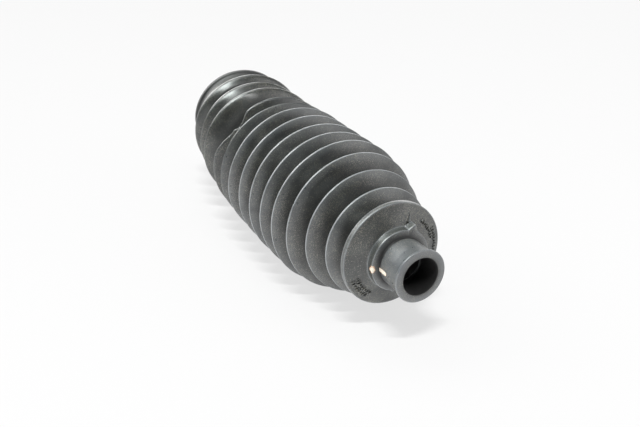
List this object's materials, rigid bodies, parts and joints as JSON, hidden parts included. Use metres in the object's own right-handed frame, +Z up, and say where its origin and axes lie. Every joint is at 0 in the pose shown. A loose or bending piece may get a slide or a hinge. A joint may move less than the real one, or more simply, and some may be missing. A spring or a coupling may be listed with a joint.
{
  "type": "rubber bellows boot",
  "caption": "Moulded rubber bellows boot that covers a sliding rod, with a small clamped cuff, tapering convolutions and a large clamped cuff.",
  "frame": {"origin": "centre of the small cuff's mouth, on the bore's axis", "axes": "+Y runs along the straight half of the boot from the small end to the large end, +Z is up as the boot lies on a table, +X is to the right seen from the small end"},
  "size_m": [0.061, 0.1727, 0.0605],
  "materials": {
    "rubber": "satin moulded black rubber with a little dust"
  },
  "bodies": {
    "root": {"bellows_boot": "rubber"}
  },
  "joints": []
}
